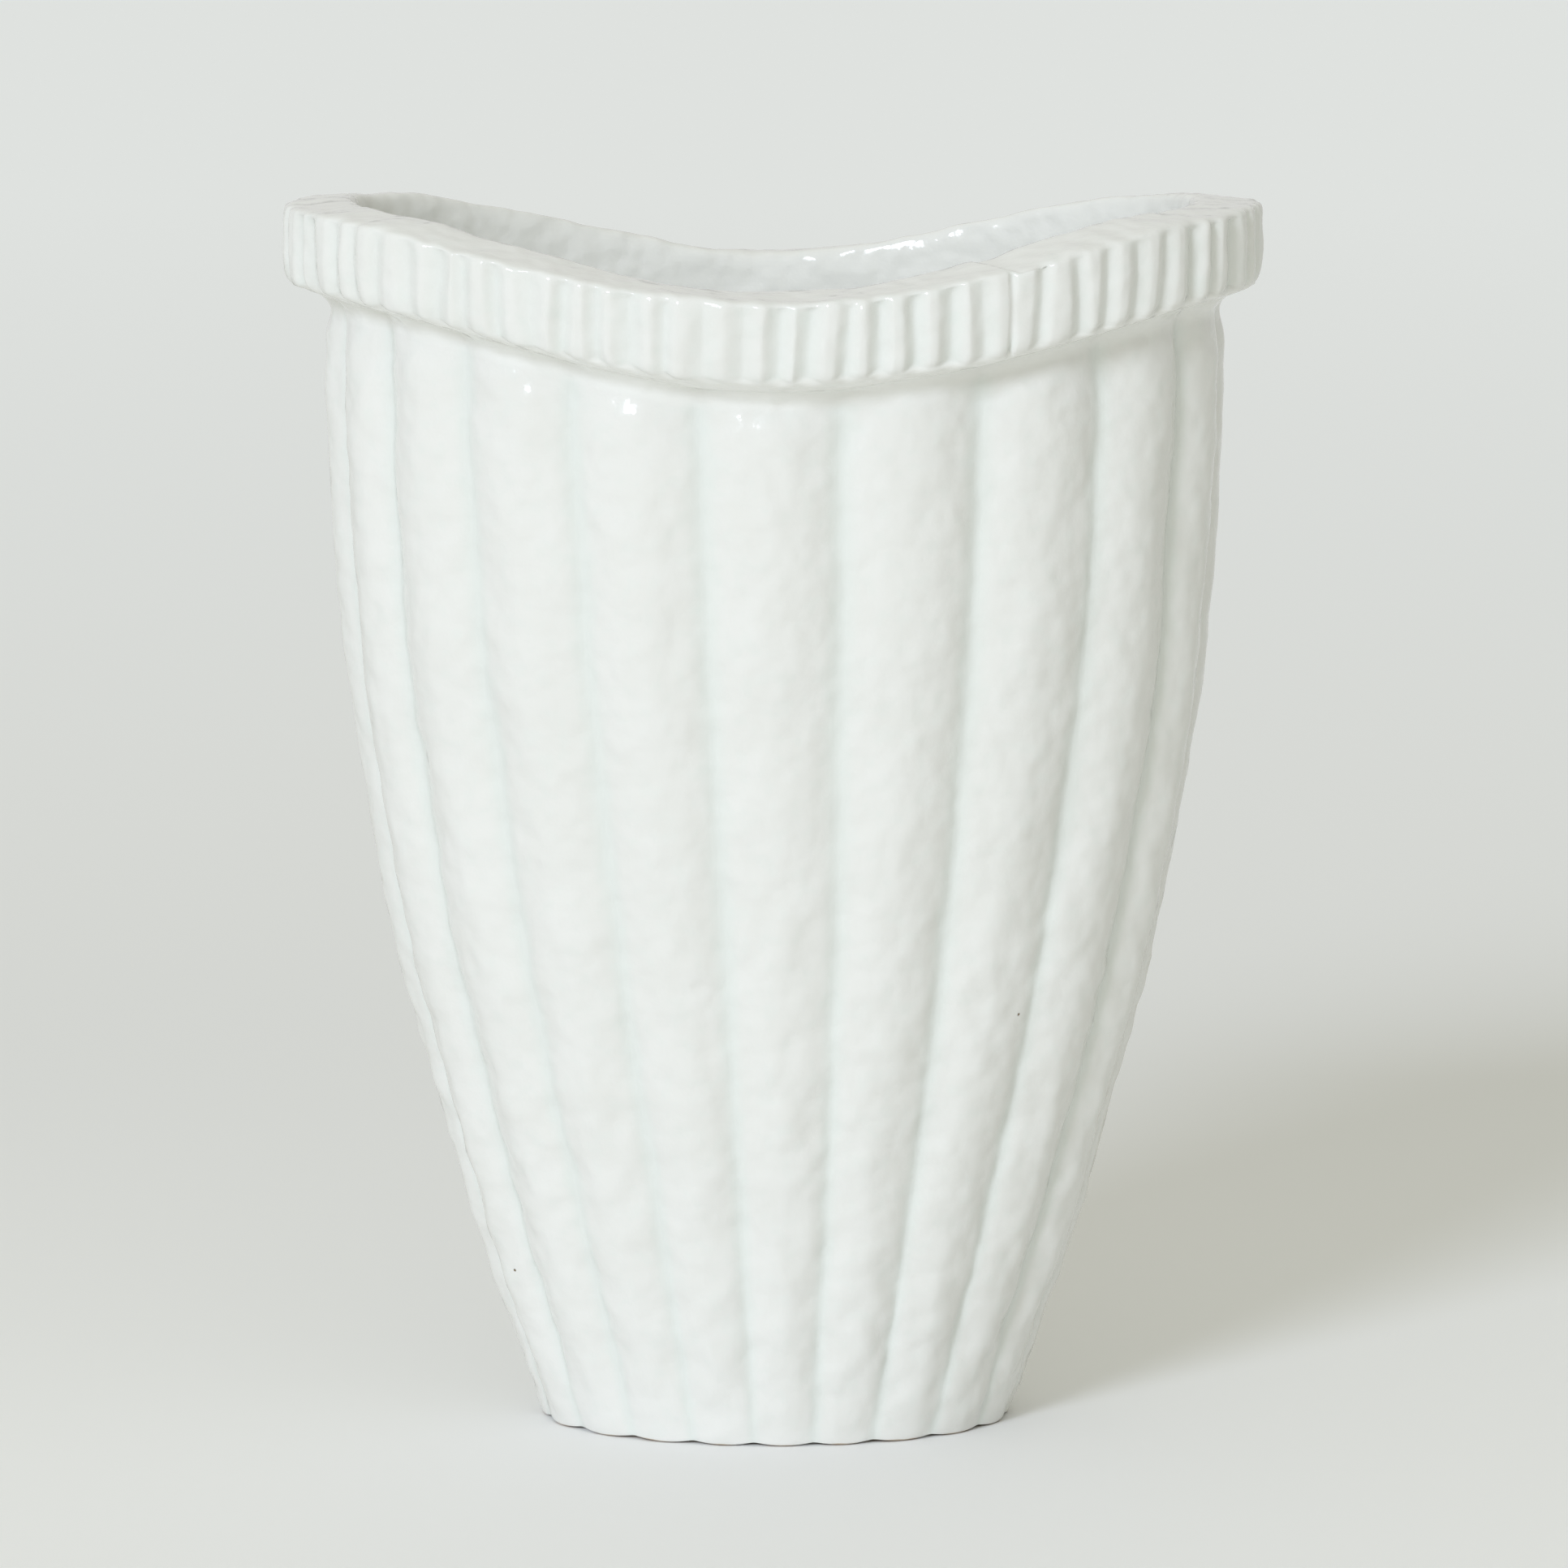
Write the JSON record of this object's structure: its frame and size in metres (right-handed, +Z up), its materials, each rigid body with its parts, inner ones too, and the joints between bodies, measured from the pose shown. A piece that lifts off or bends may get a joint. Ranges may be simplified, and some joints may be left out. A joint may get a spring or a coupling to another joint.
{
  "type": "fluted oval vase",
  "caption": "Heavy white glazed stoneware flower vase: oval plan, rounded upright lobes tapering to a narrow foot, and a thick notched collar that dips at front and back.",
  "frame": {"origin": "centre of the foot, on the surface that the vase stands on", "axes": "+Z up, X along the long axis of the oval, -Y towards the pictured front"},
  "size_m": [0.276, 0.183, 0.3505],
  "materials": {
    "body_glaze": "glossy white glaze over grogged stoneware, faintly blue-green in the valleys",
    "floor_glaze": "white glaze inside, bare buff clay underneath",
    "collar_glaze": "glossy white glaze, thin on the ribs' edges and pooled in the notches"
  },
  "bodies": {
    "root": {"fluted_wall": "body_glaze", "base_slab": "floor_glaze", "rim_collar": "collar_glaze"}
  },
  "joints": []
}
